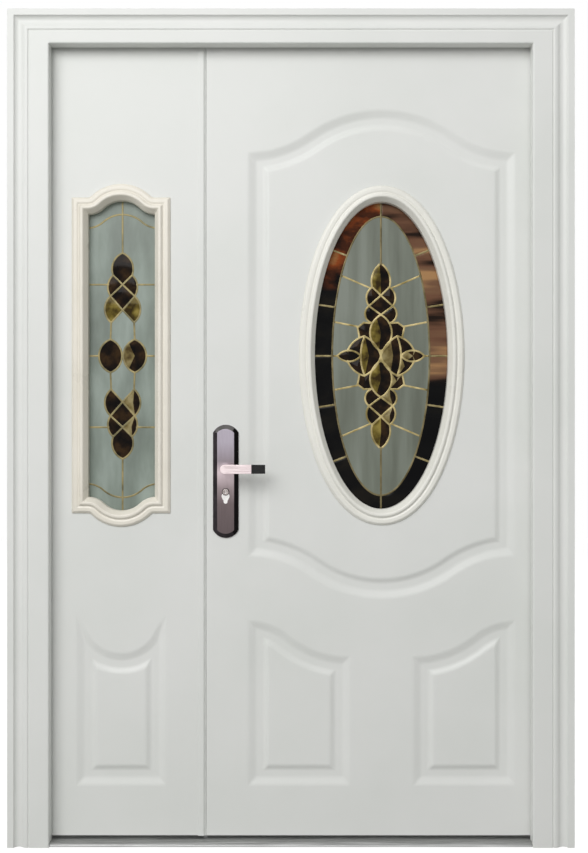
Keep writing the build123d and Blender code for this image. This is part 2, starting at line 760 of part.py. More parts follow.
def front_lock_plate():
    """Street-side plate: a bevelled field, with a collar that the lever turns in."""
    rim_y = LEAF_FRONT - PLATE_RIM
    field_y = LEAF_FRONT - PLATE_THICK
    plate = slab(plate_outline(0), rim_y, LEAF_FRONT)
    foot = at_y(rim_y) * plate_outline(0).face()
    plate += loft([foot, at_y(field_y) * plate_outline(PLATE_BEVEL).face()], ruled=True)
    plate += slab(Pos(LOCK_X, LEVER_Z) * Circle(COLLAR_R), field_y - COLLAR_THICK, LEAF_FRONT)
    plate -= slab(Pos(LOCK_X, LEVER_Z) * Circle(NECK_R + LEVER_FIT), field_y - COLLAR_THICK, LEAF_FRONT)
    return plate - slab(euro_profile(CYLINDER_FIT), field_y, LEAF_FRONT)


def front_lever():
    """Street-side lever as two pieces: the bar with its neck, and the dark grip end."""
    inner_y = LEAF_FRONT - LEVER_STAND
    outer_y = inner_y - LEVER_THICK
    half = LEVER_HEIGHT / 2
    tip = LOCK_X + LEVER_REACH
    outline = make_face([
        ThreePointArc((LOCK_X, LEVER_Z - half), (LOCK_X - half, LEVER_Z), (LOCK_X, LEVER_Z + half)),
        Line((LOCK_X, LEVER_Z + half), (tip, LEVER_Z + half)),
        Line((tip, LEVER_Z + half), (tip, LEVER_Z - half)),
        Line((tip, LEVER_Z - half), (LOCK_X, LEVER_Z - half)),
    ])
    middle = LOCK_X + LEVER_REACH / 2
    plan = make_face([
        Line((LOCK_X - half, inner_y), (LOCK_X - half, outer_y + LEVER_TAPER)),
        ThreePointArc((LOCK_X - half, outer_y + LEVER_TAPER), (middle, outer_y), (tip, outer_y + LEVER_TAPER)),
        Line((tip, outer_y + LEVER_TAPER), (tip, inner_y - LEVER_TAPER)),
        Line((tip, inner_y - LEVER_TAPER), (middle, inner_y)),
        Line((middle, inner_y), (LOCK_X - half, inner_y)),
    ])
    bar = slab(outline, outer_y, inner_y) & upright(plan, LEVER_Z - half, LEVER_Z + half)
    corners = bar.edges().filter_by(Axis.Z).group_by(Axis.X)[-1]
    bar = fillet(corners, LEVER_ROUND)
    split = tip - LEVER_TIP
    grip_room = block(split, tip, outer_y, inner_y, LEVER_Z - half, LEVER_Z + half)
    neck = slab(Pos(LOCK_X, LEVER_Z) * Circle(NECK_R), inner_y, LEAF_FRONT - SKIN)
    socket_half = SPINDLE_SIDE / 2 + SPINDLE_FIT
    socket = block(
        LOCK_X - socket_half, LOCK_X + socket_half,
        -SPINDLE_HALF - SPINDLE_FIT, LEAF_FRONT,
        LEVER_Z - socket_half, LEVER_Z + socket_half,
    )
    return (bar - grip_room) + neck - socket, bar & grip_room


def build_lock_set():
    plate = front_lock_plate()
    save("outer_lock_plate", plate)
    save("inner_lock_plate", mirror(plate, about=Plane.XZ))
    lever, grip = front_lever()
    save("outer_lever", lever)
    save("outer_lever_tip", grip)
    save("inner_lever", mirror(lever, about=Plane.XZ))
    save("inner_lever_tip", mirror(grip, about=Plane.XZ))
    half = SPINDLE_SIDE / 2
    save("lever_spindle", block(
        LOCK_X - half, LOCK_X + half, -SPINDLE_HALF, SPINDLE_HALF, LEVER_Z - half, LEVER_Z + half,
    ))
    end_y = LEAF_THICK / 2 + PLATE_THICK + CYLINDER_PROUD
    cylinder = slab(euro_profile(0), -end_y, end_y)
    keyway = Pos(LOCK_X, CYLINDER_Z) * Rectangle(KEYWAY_WIDTH, KEYWAY_HEIGHT)
    save("key_cylinder", cylinder - slab(keyway, -end_y, -end_y + KEYWAY_DEPTH))
    base = slab(Pos(LOCK_X, CYLINDER_Z) * Circle(CYLINDER_R), end_y, end_y + TURN_BASE)
    blade = Pos(LOCK_X, CYLINDER_Z) * SlotOverall(TURN_LENGTH, TURN_THICK, rotation=90)
    save("thumb_turn", base + slab(blade, end_y + TURN_BASE, end_y + TURN_BASE + TURN_STAND))


def bolt_heights():
    first = CYLINDER_Z - BOLT_DROP
    return [first - row * BOLT_PITCH for row in range(BOLT_COUNT)]


def bolt_shapes(grow, x0, x1):
    """The latch and the round bolts along X between two places."""
    half_z = LATCH_HEIGHT / 2 + grow
    half_y = LATCH_WIDTH / 2 + grow
    shapes = [block(x0, x1, -half_y, half_y, LEVER_Z - half_z, LEVER_Z + half_z)]
    for z in bolt_heights():
        rod = Cylinder(BOLT_R + grow, x1 - x0, align=(Align.CENTER, Align.CENTER, Align.MIN))
        shapes.append(Pos(x0, 0, z) * Rot(0, 90, 0) * rod)
    return shapes


def build_edge_plates():
    """Lock faceplate and bolts on the wide leaf, strike plate and flush bolts on the narrow one."""
    faceplate = edge_plate("main", *FACEPLATE, 0)
    strike = edge_plate("side", *FACEPLATE, 0)
    main_x = edge_at(leaf_edges("main")[0], BOLT_R)
    for shape in bolt_shapes(BOLT_FIT, SIDE_EDGE - LOCK_POCKET, MAIN_EDGE + LOCK_POCKET):
        faceplate -= shape
        strike -= shape
    save("lock_faceplate", faceplate)
    save("strike_plate", strike)
    save("lock_bolts", bolt_shapes(0, main_x, main_x + BOLT_LENGTH))
    plates = []
    for width, low, high in FLUSH_BOLTS:
        middle = (low + high) / 2
        slot = block(
            SIDE_EDGE - LOCK_POCKET, MAIN_EDGE,
            -FLUSH_SLOT_WIDTH / 2, FLUSH_SLOT_WIDTH / 2,
            middle - FLUSH_SLOT_HEIGHT / 2, middle + FLUSH_SLOT_HEIGHT / 2,
        )
        plates.append(edge_plate("side", width, low, high, 0) - slot)
    save("flush_bolts", plates)


def swing_reach(hinge_x, corner_x, corner_y, y):
    """How far from its hinge a leaf's corner passes depth y as the leaf opens."""
    radius = math.hypot(corner_x - hinge_x, corner_y - HINGE_Y)
    return math.sqrt(radius ** 2 - (y - HINGE_Y) ** 2)


def build_meeting_edges():
    """Cover strip on the narrow leaf, and rubber seals facing each other across the gap."""
    strip_y = LEAF_FRONT - STRIP_PROUD
    strip = block(SIDE_EDGE - STRIP_WIDTH, SIDE_EDGE, strip_y, LEAF_FRONT, LEAF_LOW, HEAD_EDGE - STRIP_TOP_CLEAR)
    save("meeting_strip", strip)
    y0 = MEETING_SEAL_Y - MEETING_SEAL_WIDTH / 2
    y1 = MEETING_SEAL_Y + MEETING_SEAL_WIDTH / 2
    main_edge = leaf_edges("main")[0]
    side_edge = leaf_edges("side")[1]
    main_lip = swing_reach(-HINGE_X, SIDE_EDGE, strip_y, y1) - HINGE_X + SWING_CLEAR
    side_lip = HINGE_X - swing_reach(HINGE_X, MAIN_EDGE, LEAF_FRONT, y1) - SWING_CLEAR
    for name, edge, lip in (("main", main_edge, main_lip), ("side", side_edge, side_lip)):
        plan = polygon((lip, y0), (edge_at(edge, y0), y0), (edge_at(edge, y1), y1), (lip, y1))
        save(f"{name}_meeting_seal", upright(plan, LEAF_LOW, LEAF_HIGH))


# Hinges

def build_hinges():
    """Lift-off hinges: the frame half carries the pin, the leaf half drops over it."""
    frame_halves = []
    leaf_halves = []
    for z in HINGE_HEIGHTS:
        joint = Pos(HINGE_X, HINGE_Y, z)
        upward = (Align.CENTER, Align.CENTER, Align.MIN)
        lower = Pos(0, 0, -BARREL_LENGTH) * Cylinder(BARREL_R, BARREL_LENGTH, align=upward)
        lower += Cylinder(PIN_R, PIN_LENGTH, align=upward)
        lower += block(0, STRAP_LENGTH, -BARREL_R, STRAP_THICK - BARREL_R, -BARREL_LENGTH, 0)
        upper = Pos(0, 0, BARREL_GAP) * Cylinder(BARREL_R, BARREL_LENGTH, align=upward)
        top = BARREL_LENGTH + BARREL_GAP
        upper += block(-STRAP_LENGTH, 0, -BARREL_R, STRAP_THICK - BARREL_R, BARREL_GAP, top)
        upper -= Cylinder(PIN_R + PIN_FIT, PIN_LENGTH + BARREL_GAP, align=upward)
        frame_halves.append(joint * lower)
        leaf_halves.append(joint * upper)
    save("main_hinge_frame_halves", frame_halves)
    save("main_hinge_leaf_halves", leaf_halves)
    save("side_hinge_frame_halves", [mirror(half, about=Plane.YZ) for half in frame_halves])
    save("side_hinge_leaf_halves", [mirror(half, about=Plane.YZ) for half in leaf_halves])


build_frame()
build_sill()
build_anchors()
build_rebate_seal()
build_leaf("main")
build_leaf("side")
build_lock_set()
build_edge_plates()
build_meeting_edges()
build_hinges()
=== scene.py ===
import json
import math

import bmesh
import bpy
from mathutils import Matrix, Vector

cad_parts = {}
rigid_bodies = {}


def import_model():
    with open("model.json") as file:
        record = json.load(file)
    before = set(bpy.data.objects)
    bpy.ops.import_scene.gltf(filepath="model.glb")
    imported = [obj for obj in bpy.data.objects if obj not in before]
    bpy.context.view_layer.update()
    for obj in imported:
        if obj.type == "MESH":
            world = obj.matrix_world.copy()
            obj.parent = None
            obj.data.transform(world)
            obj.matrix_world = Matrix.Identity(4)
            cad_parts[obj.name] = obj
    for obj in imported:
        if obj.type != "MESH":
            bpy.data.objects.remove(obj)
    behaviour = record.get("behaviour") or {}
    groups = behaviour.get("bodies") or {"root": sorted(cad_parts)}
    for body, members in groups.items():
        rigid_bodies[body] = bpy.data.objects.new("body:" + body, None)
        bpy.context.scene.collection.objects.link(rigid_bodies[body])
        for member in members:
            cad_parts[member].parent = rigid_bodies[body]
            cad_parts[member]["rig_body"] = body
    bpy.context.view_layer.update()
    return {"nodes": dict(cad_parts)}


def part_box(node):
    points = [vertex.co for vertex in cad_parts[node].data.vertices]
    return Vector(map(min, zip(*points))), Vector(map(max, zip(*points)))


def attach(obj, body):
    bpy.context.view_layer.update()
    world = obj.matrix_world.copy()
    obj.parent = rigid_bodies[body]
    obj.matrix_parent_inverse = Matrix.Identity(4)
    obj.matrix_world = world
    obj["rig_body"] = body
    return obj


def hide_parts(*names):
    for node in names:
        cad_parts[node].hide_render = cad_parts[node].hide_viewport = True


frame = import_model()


# Frame: two jambs and a head, pressed from steel sheet with a moulded front, mitred and
# welded at the corners, where the inner edges are filled and ground flush. The baked white
# paint has a faint orange-peel skin.

NOISE_SPAN = (0.36, 0.64)
MESH_WELD = 0.00002
FLAT_ANGLE = 0.3
FOLD_TURN = 30
LONG_EDGE = 0.05
JAMB_EDGE_ROUND = 0.0008
FILL_SIZE = (0.006, 0.006, 0.018)
FILL_PROUD = 0.00005
FILL_ROOT = 0.002


def srgb(red, green, blue):
    """A colour as a paint chart gives it, 0 to 255, turned into the shader's own scale."""
    shares = [value / 255 for value in (red, green, blue)]
    return [s / 12.92 if s <= 0.04045 else ((s + 0.055) / 1.055) ** 2.4 for s in shares]


def tone_ramp(nodes, steps):
    """A ramp node with a colour at each step, given as its place and the colour."""
    ramp = nodes.new("ShaderNodeValToRGB")
    elements = ramp.color_ramp.elements
    while len(elements) < len(steps):
        elements.new(1.0)
    for element, (place, colour) in zip(elements, steps):
        element.position = place
        element.color = (*colour, 1.0)
    return ramp


def even_steps(tones):
    """Tones at even steps over the middle of a noise, where nearly all its values lie."""
    low, high = NOISE_SPAN
    gap = (high - low) / (len(tones) - 1)
    return [(low + gap * step, tone) for step, tone in enumerate(tones)]


def finish(name, tones, grain, rough, relief, metal=0.0, stretch=(1.0, 1.0, 1.0), shine=0.5):
    """A surface whose tones and roughness follow one grain, under a fine relief.
    relief is the size of its bumps and their height."""
    material = bpy.data.materials.new(name)
    material.use_nodes = True
    nodes = material.node_tree.nodes
    link = material.node_tree.links.new
    shader = nodes["Principled BSDF"]
    shader.inputs["Metallic"].default_value = metal
    shader.inputs["Specular IOR Level"].default_value = shine
    place = nodes.new("ShaderNodeTexCoord")
    mapping = nodes.new("ShaderNodeMapping")
    mapping.inputs["Scale"].default_value = stretch
    link(place.outputs["Object"], mapping.inputs["Vector"])
    cloud = nodes.new("ShaderNodeTexNoise")
    cloud.inputs["Scale"].default_value = 1 / grain
    cloud.inputs["Detail"].default_value = 4.0
    link(mapping.outputs["Vector"], cloud.inputs["Vector"])
    tone = tone_ramp(nodes, even_steps(tones))
    link(cloud.outputs["Fac"], tone.inputs["Fac"])
    link(tone.outputs["Color"], shader.inputs["Base Color"])
    gloss = nodes.new("ShaderNodeMapRange")
    gloss.inputs["From Min"].default_value = NOISE_SPAN[0]
    gloss.inputs["From Max"].default_value = NOISE_SPAN[1]
    gloss.inputs["To Min"].default_value = rough[0]
    gloss.inputs["To Max"].default_value = rough[1]
    link(cloud.outputs["Fac"], gloss.inputs["Value"])
    link(gloss.outputs["Result"], shader.inputs["Roughness"])
    fine = nodes.new("ShaderNodeTexNoise")
    fine.inputs["Scale"].default_value = 1 / relief[0]
    fine.inputs["Detail"].default_value = 2.0
    link(mapping.outputs["Vector"], fine.inputs["Vector"])
    bump = nodes.new("ShaderNodeBump")
    bump.inputs["Strength"].default_value = 1.0
    bump.inputs["Distance"].default_value = relief[1]
    link(fine.outputs["Fac"], bump.inputs["Height"])
    link(bump.outputs["Normal"], shader.inputs["Normal"])
    return material


def pick(piece):
    """Only this piece is selected and active."""
    bpy.ops.object.select_all(action="DESELECT")
    piece.select_set(True)
    bpy.context.view_layer.objects.active = piece


def blank(node, name, weld=MESH_WELD):
    """A copy of a CAD node's mesh, its loose triangles merged into whole faces."""
    piece = bpy.data.objects.new(name, frame["nodes"][node].data.copy())
    bpy.context.scene.collection.objects.link(piece)
    pick(piece)
    bpy.ops.mesh.customdata_custom_splitnormals_clear()
    piece.data.materials.clear()
    bpy.ops.object.mode_set(mode="EDIT")
    bpy.ops.mesh.select_all(action="SELECT")
    bpy.ops.mesh.remove_doubles(threshold=weld)
    bpy.ops.mesh.dissolve_limited(angle_limit=math.radians(FLAT_ANGLE))
    bpy.ops.object.mode_set(mode="OBJECT")
    return piece


def add_box(size, place):
    """A box of a given size, centred on a place, to be shaped."""
    bpy.ops.object.select_all(action="DESELECT")
    bpy.ops.mesh.primitive_cube_add(size=1.0, location=place)
    box = bpy.context.object
    box.scale = size
    bpy.ops.object.transform_apply(location=True, rotation=True, scale=True)
    return box


def turn(edge):
    """How far the surface turns at an edge, in degrees."""
    return math.degrees(edge.calc_face_angle(0.0))


def round_edges(piece, width, steps, wanted):
    """Rounds the edges of the active piece that a test picks."""
    bpy.ops.object.mode_set(mode="EDIT")
    bpy.ops.mesh.select_mode(type="EDGE")
    bpy.ops.mesh.select_all(action="DESELECT")
    mesh = bmesh.from_edit_mesh(piece.data)
    for edge in mesh.edges:
        edge.select_set(len(edge.link_faces) == 2 and wanted(edge))
    bmesh.update_edit_mesh(piece.data)
    bpy.ops.mesh.bevel(offset=width, segments=steps, affect="EDGES", clamp_overlap=False)
    bpy.ops.object.mode_set(mode="OBJECT")


def smooth(piece, angle=35):
    """Smooth shading up to an angle, with wide faces kept flat."""
    bpy.ops.object.shade_smooth_by_angle(angle=math.radians(angle))
    even = piece.modifiers.new("Even shading", "WEIGHTED_NORMAL")
    even.keep_sharp = True
    bpy.ops.object.modifier_apply(modifier=even.name)


def join(pieces):
    """Joins like pieces into one, which is then selected and active."""
    pick(pieces[0])
    for piece in pieces:
        piece.select_set(True)
    bpy.ops.object.join()
    return bpy.context.object


def fit(piece, node, slot, *materials):
    """The finished piece takes its node's place on the same body."""
    for material in materials:
        piece.data.materials.append(material)
    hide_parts(node)
    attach(piece, frame["nodes"][node]["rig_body"])


def fit_new(piece, name, body, slot, *materials):
    """A finished piece that has no CAD node gets its name, finish and body."""
    piece.name = name
    for material in materials:
        piece.data.materials.append(material)
    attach(piece, body)


def is_long_fold(edge):
    """A folded edge that runs along a jamb or the head, and not across its end."""
    return turn(edge) > FOLD_TURN and edge.calc_length() > LONG_EDGE


white_paint = finish(
    "white baked paint",
    (srgb(221, 223, 219), srgb(226, 227, 224)),
    grain=0.35,
    rough=(0.30, 0.40),
    relief=(0.0022, 0.00002),
    shine=0.25,
)
for node in ("left_jamb", "right_jamb", "frame_head"):
    pressing = blank(node, node + "_pressing")
    round_edges(pressing, JAMB_EDGE_ROUND, 2, is_long_fold)
    smooth(pressing)
    fit(pressing, node, "white_paint", white_paint)

frame_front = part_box("frame_head")[0].y
head_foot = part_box("frame_head")[0].z
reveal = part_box("right_jamb")[0].x
fill_wide, fill_deep, fill_tall = FILL_SIZE


def is_fill_root(edge):
    """An upright edge of a corner fill that lies inside the frame."""
    return edge.calc_length() > fill_wide and min(v.co.y for v in edge.verts) > frame_front


fills = []
for side in (-1, 1):
    fill = add_box(FILL_SIZE, (
        side * (reveal + fill_wide / 2),
        frame_front + fill_deep / 2 - FILL_PROUD,
        head_foot + fill_tall / 2,
    ))
    round_edges(fill, FILL_ROOT, 2, is_fill_root)
    fills.append(fill)
corner_welds = join(fills)
smooth(corner_welds)
fit_new(corner_welds, "frame_corner_welds", "frame", "white_paint", white_paint)


# Sill: a solid threshold bar with a sloped nose, in brushed stainless steel, set between
# the jambs and let in behind their stops.

SILL_ROUND = 0.0012


def sharper_than(angle):
    """A test for edges at which the surface turns by more than an angle."""
    return lambda edge: turn(edge) > angle


sill_steel = finish(
    "brushed sill steel",
    (srgb(150, 151, 150), srgb(178, 179, 178)),
    grain=0.004,
    rough=(0.30, 0.46),
    relief=(0.0015, 0.00002),
    metal=1.0,
    stretch=(0.03, 1.0, 1.0),
)
sill = blank("sill", "sill_bar")
round_edges(sill, SILL_ROUND, 2, sharper_than(FOLD_TURN))
smooth(sill)
fit(sill, "sill", "sill_steel", sill_steel)


# Wall straps and seals: drilled steel straps welded across the jambs' open backs, pale rubber
# strips on the stops and between the leaves, and a soft lip that closes the meeting gap.

LIP_DEPTH = 0.0228
LIP_THICK = 0.003
LIP_TOUCH = 0.0004
LIP_ROUND = 0.0011


def coat_node(node, material):
    """A CAD node that keeps its own shape gets its finish."""
    slots = frame["nodes"][node].material_slots
    for slot in slots:
        slot.material = material
    if not slots:
        frame["nodes"][node].data.materials.append(material)


bare_steel = finish(
    "bare plated steel",
    (srgb(140, 142, 144), srgb(156, 158, 160)),
    grain=0.008,
    rough=(0.34, 0.50),
    relief=(0.001, 0.00002),
    metal=1.0,
)
pale_rubber = finish(
    "pale grey rubber",
    (srgb(208, 210, 206), srgb(217, 219, 215)),
    grain=0.03,
    rough=(0.62, 0.78),
    relief=(0.0012, 0.00008),
)
coat_node("anchor_plates", bare_steel)
for node in ("rebate_seal", "main_meeting_seal", "side_meeting_seal"):
    coat_node(node, pale_rubber)

side_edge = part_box("side_front_skin")[1].x
main_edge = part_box("main_front_skin")[0].x
seal_low, seal_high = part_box("side_meeting_seal")
lip = add_box(
    (main_edge - side_edge, LIP_THICK, seal_high.z - seal_low.z),
    ((side_edge + main_edge) / 2 - LIP_TOUCH, -LIP_DEPTH, (seal_low.z + seal_high.z) / 2),
)
round_edges(lip, LIP_ROUND, 3, lambda edge: edge.calc_length() > LONG_EDGE)
smooth(lip, 40)
fit_new(lip, "meeting_lip_seal", "side_leaf", "rubber_seal", pale_rubber)


# Hinges: turned steel barrels that lift off a fixed pin, on straps that are held to the
# frame and to the leaves on the room side by three countersunk screws each.

HINGE_ROUND = 0.0005
TURNED_EDGE = 40
BARREL_R = 0.007
BARREL_LENGTH = 0.058
STRAP_THICK = 0.003
STRAP_SCREWS = ((0.50, 0.78), (0.50, 0.22), (0.88, 0.50))
SCREW_R = 0.004
SCREW_SIDES = 24
SCREW_DEEP = 0.0024
SCREW_CROWN = ((0.0008, 0.00018), (0.0012, 0.00006))
SCREW_SLOT = (0.0046, 0.0011, 0.003)
SCREW_TURN_STEP = 0.7
FACES_STRAIGHT = 0.9

for node in (
    "main_hinge_frame_halves", "main_hinge_leaf_halves",
    "side_hinge_frame_halves", "side_hinge_leaf_halves",
):
    hinge = blank(node, node + "_turned")
    round_edges(hinge, HINGE_ROUND, 2, sharper_than(TURNED_EDGE))
    smooth(hinge)
    fit(hinge, node, "bare_steel", bare_steel)


def select_faces(piece, wanted):
    """Opens the active piece for shaping, with the faces selected that a test picks."""
    bpy.ops.object.mode_set(mode="EDIT")
    bpy.ops.mesh.select_mode(type="FACE")
    bpy.ops.mesh.select_all(action="DESELECT")
    mesh = bmesh.from_edit_mesh(piece.data)
    for face in mesh.faces:
        face.select_set(wanted(face))
    bmesh.update_edit_mesh(piece.data)


def cut(piece, cutter, name):
    """Cuts a tool's shape out of a piece and takes the tool away."""
    pick(piece)
    recess = piece.modifiers.new(name, "BOOLEAN")
    recess.object = cutter
    bpy.ops.object.modifier_apply(modifier=recess.name)
    bpy.data.objects.remove(cutter)


bpy.ops.object.select_all(action="DESELECT")
bpy.ops.mesh.primitive_cylinder_add(vertices=SCREW_SIDES, radius=SCREW_R, depth=SCREW_DEEP)
screw_head = bpy.context.object
select_faces(screw_head, lambda face: face.normal.z > FACES_STRAIGHT)
for rim, rise in SCREW_CROWN:
    bpy.ops.mesh.inset(thickness=rim, depth=rise)
bpy.ops.object.mode_set(mode="OBJECT")
screw_top = SCREW_DEEP / 2 + sum(rise for rim, rise in SCREW_CROWN)
for angle in (0.0, 0.5 * math.pi):
    slot_tool = add_box(SCREW_SLOT, (0.0, 0.0, screw_top))
    slot_tool.rotation_euler = (0.0, 0.0, angle)
    cut(screw_head, slot_tool, "Cross recess")


def drive_screws(name, body, places, facing):
    """Screw heads of one piece, copied to their places and turned as they were left."""
    heads = []
    aim = Vector(facing).to_track_quat("Z", "Y").to_matrix().to_4x4()
    for count, place in enumerate(places):
        head = screw_head.copy()
        head.data = screw_head.data.copy()
        driven = Matrix.Rotation(count * SCREW_TURN_STEP, 4, "Z")
        head.data.transform(Matrix.Translation(place) @ aim @ driven)
        bpy.context.scene.collection.objects.link(head)
        heads.append(head)
    screws = join(heads)
    smooth(screws)
    fit_new(screws, name, body, "bare_steel", bare_steel)


def solid_boxes(node):
    """The lowest and highest corners of each separate solid in a CAD node, from the floor up."""
    blank(node, "measure_" + node)
    bpy.ops.object.mode_set(mode="EDIT")
    bpy.ops.mesh.select_all(action="SELECT")
    bpy.ops.mesh.separate(type="LOOSE")
    bpy.ops.object.mode_set(mode="OBJECT")
    boxes = []
    for solid in list(bpy.context.selected_objects):
        corners = [vertex.co for vertex in solid.data.vertices]
        low = Vector(min(corner[axis] for corner in corners) for axis in range(3))
        high = Vector(max(corner[axis] for corner in corners) for axis in range(3))
        boxes.append((low, high))
        bpy.data.objects.remove(solid)
    return sorted(boxes, key=lambda box: box[0].z)


for leaf, outward in (("main", 1), ("side", -1)):
    for half, strap_way in (("frame", outward), ("leaf", -outward)):
        node = f"{leaf}_hinge_{half}_halves"
        places = []
        for low, high in solid_boxes(node):
            barrel = (low.x if strap_way > 0 else high.x) + strap_way * BARREL_R
            strap_end = high.x if strap_way > 0 else low.x
            for along, up in STRAP_SCREWS:
                x = barrel + (strap_end - barrel) * along
                places.append((x, low.y + STRAP_THICK, low.z + BARREL_LENGTH * up))
        body = frame["nodes"][node]["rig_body"]
        drive_screws(f"{leaf}_hinge_{half}_screws", body, places, (0.0, 1.0, 0.0))


# Leaf skins: thin steel pans with pressed panels. Press tools leave the creases round the
# panels soft, while the folded outer edges are tight. The filling is paper honeycomb.

CREASE_ROUND = 0.0045
CREASE_TURN = (9, 50)
CREASE_FACES = 0.75
PAN_FOLD_ROUND = 0.002
PAN_FOLD_TURN = 60
OUTLINE_REACH = 0.005


def is_crease(edge, side):
    """An edge of a pressed panel, on the side of the leaf that the skin covers."""
    outward = all(face.normal.y * side > CREASE_FACES for face in edge.link_faces)
    return outward and CREASE_TURN[0] < turn(edge) < CREASE_TURN[1]


def is_pan_fold(edge, side, low, high):
    """The edge where a skin is folded back round the leaf's outline."""
    for vertex in edge.verts:
        x, z = vertex.co.x, vertex.co.z
        if min(x - low.x, high.x - x, z - low.z, high.z - z) >= OUTLINE_REACH:
            return False
    outward = max(face.normal.y * side for face in edge.link_faces) > FACES_STRAIGHT
    return outward and edge.is_convex and turn(edge) > PAN_FOLD_TURN


for node, side in (
    ("main_front_skin", -1), ("main_back_skin", 1),
    ("side_front_skin", -1), ("side_back_skin", 1),
):
    low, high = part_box(node)
    skin = blank(node, node + "_pressing")
    round_edges(skin, CREASE_ROUND, 3, lambda edge: is_crease(edge, side))
    round_edges(skin, PAN_FOLD_ROUND, 3, lambda edge: is_pan_fold(edge, side, low, high))
    smooth(skin)
    fit(skin, node, "white_paint", white_paint)

honeycomb = finish(
    "paper honeycomb",
    (srgb(150, 120, 85), srgb(176, 146, 108)),
    grain=0.015,
    rough=(0.80, 0.92),
    relief=(0.004, 0.0004),
)
for node in ("main_core", "side_core"):
    coat_node(node, honeycomb)


# Window mouldings: cream enamelled frames with an inner bead, a valley and a lower outer
# step, one on each side of the glass and screwed together through the leaf.

MOULDING_ROUND = 0.0014
MOULDING_TURN = 14
ENAMELS = (
    ("oval", "ivory enamel", (srgb(229, 228, 220), srgb(235, 234, 226))),
    ("arch", "cream enamel", (srgb(224, 219, 206), srgb(231, 226, 214))),
)

for window, enamel_name, tones in ENAMELS:
    enamel = finish(enamel_name, tones, grain=0.12, rough=(0.26, 0.34), relief=(0.003, 0.00002))
    for face_side in ("front", "back"):
        node = f"{window}_{face_side}_moulding"
        moulding = blank(node, node + "_run")
        round_edges(moulding, MOULDING_ROUND, 3, sharper_than(MOULDING_TURN))
        smooth(moulding, 40)
        fit(moulding, node, "cream_moulding", enamel)


# Cames: brass channel bent round each piece of glass and soldered where it meets, with a
# rounded face. In the oval window the brass is darker on the ring round the field and on
# the uprights above and below the cluster.

CAME_WELD = 0.0002
CAME_ROUND = 0.0014
CAME_EDGE_SHARE = 0.72
BROAD_FACE = 0.99
CAME_WALL = 0.5
DARKENING_SPAN = (0.9, 1.1)
RING_SPAN = (0.985, 1.06)
RING_DARKENING = 0.38
RIM_DARKENING = 0.62
UPRIGHT_HALF = 0.004
UPRIGHT_FROM = 0.66
UPRIGHT_DARKENING = 0.38


def is_broad(face):
    """A face that looks straight out of the leaf, to the front or to the back."""
    return abs(face.normal.y) > BROAD_FACE


def tint(material, shade):
    """Multiplies a finish's colour by a shade that another of its nodes gives."""
    nodes = material.node_tree.nodes
    link = material.node_tree.links.new
    base = nodes["Principled BSDF"].inputs["Base Color"]
    product = nodes.new("ShaderNodeVectorMath")
    product.operation = "MULTIPLY"
    link(base.links[0].from_socket, product.inputs[0])
    link(shade, product.inputs[1])
    link(product.outputs["Vector"], base)


oval_brass = finish(
    "pale brass came",
    (srgb(120, 106, 60), srgb(184, 168, 120)),
    grain=0.03,
    rough=(0.30, 0.46),
    relief=(0.002, 0.00012),
    metal=0.6,
)
arch_brass = finish(
    "dull brass came",
    (srgb(92, 86, 58), srgb(142, 130, 90)),
    grain=0.03,
    rough=(0.34, 0.5),
    relief=(0.002, 0.00012),
    metal=0.6,
)
field_low, field_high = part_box("oval_frosted_glass")
field_middle = (field_low + field_high) / 2
field_half = (field_high - field_low) / 2
brass_nodes = oval_brass.node_tree.nodes
brass_link = oval_brass.node_tree.links.new


def combine(operation, first, second):
    """What one sum on two values gives, within the oval brass."""
    total = brass_nodes.new("ShaderNodeMath")
    total.operation = operation
    for entry, value in zip(total.inputs, (first, second)):
        if isinstance(value, float):
            entry.default_value = value
        else:
            brass_link(value, entry)
    return total.outputs["Value"]


field = brass_nodes.new("ShaderNodeMapping")
field.inputs["Location"].default_value = (
    -field_middle.x / field_half.x, 0.0, -field_middle.z / field_half.z,
)
field.inputs["Scale"].default_value = (1 / field_half.x, 0.0, 1 / field_half.z)
brass_link(brass_nodes["Texture Coordinate"].outputs["Object"], field.inputs["Vector"])
reach = brass_nodes.new("ShaderNodeVectorMath")
reach.operation = "LENGTH"
brass_link(field.outputs["Vector"], reach.inputs[0])
spread = brass_nodes.new("ShaderNodeMapRange")
spread.inputs["From Min"].default_value = DARKENING_SPAN[0]
spread.inputs["From Max"].default_value = DARKENING_SPAN[1]
brass_link(reach.outputs["Value"], spread.inputs["Value"])
ring_steps = []
for start, shade in (
    (DARKENING_SPAN[0], 1.0), (RING_SPAN[0], RING_DARKENING), (RING_SPAN[1], RIM_DARKENING),
):
    step = (start - DARKENING_SPAN[0]) / (DARKENING_SPAN[1] - DARKENING_SPAN[0])
    ring_steps.append((step, (shade, shade, shade)))
ring = tone_ramp(brass_nodes, ring_steps)
ring.color_ramp.interpolation = "CONSTANT"
brass_link(spread.outputs["Result"], ring.inputs["Fac"])
across = brass_nodes.new("ShaderNodeSeparateXYZ")
brass_link(field.outputs["Vector"], across.inputs["Vector"])
near_axis = combine("COMPARE", across.outputs["X"], 0.0)
near_axis.node.inputs[2].default_value = UPRIGHT_HALF / field_half.x
past_cluster = combine("GREATER_THAN", reach.outputs["Value"], UPRIGHT_FROM)
upright = brass_nodes.new("ShaderNodeMapRange")
upright.inputs["To Min"].default_value = 1.0
upright.inputs["To Max"].default_value = UPRIGHT_DARKENING
brass_link(combine("MULTIPLY", near_axis, past_cluster), upright.inputs["Value"])
tint(oval_brass, combine("MINIMUM", ring.outputs["Color"], upright.outputs["Result"]))

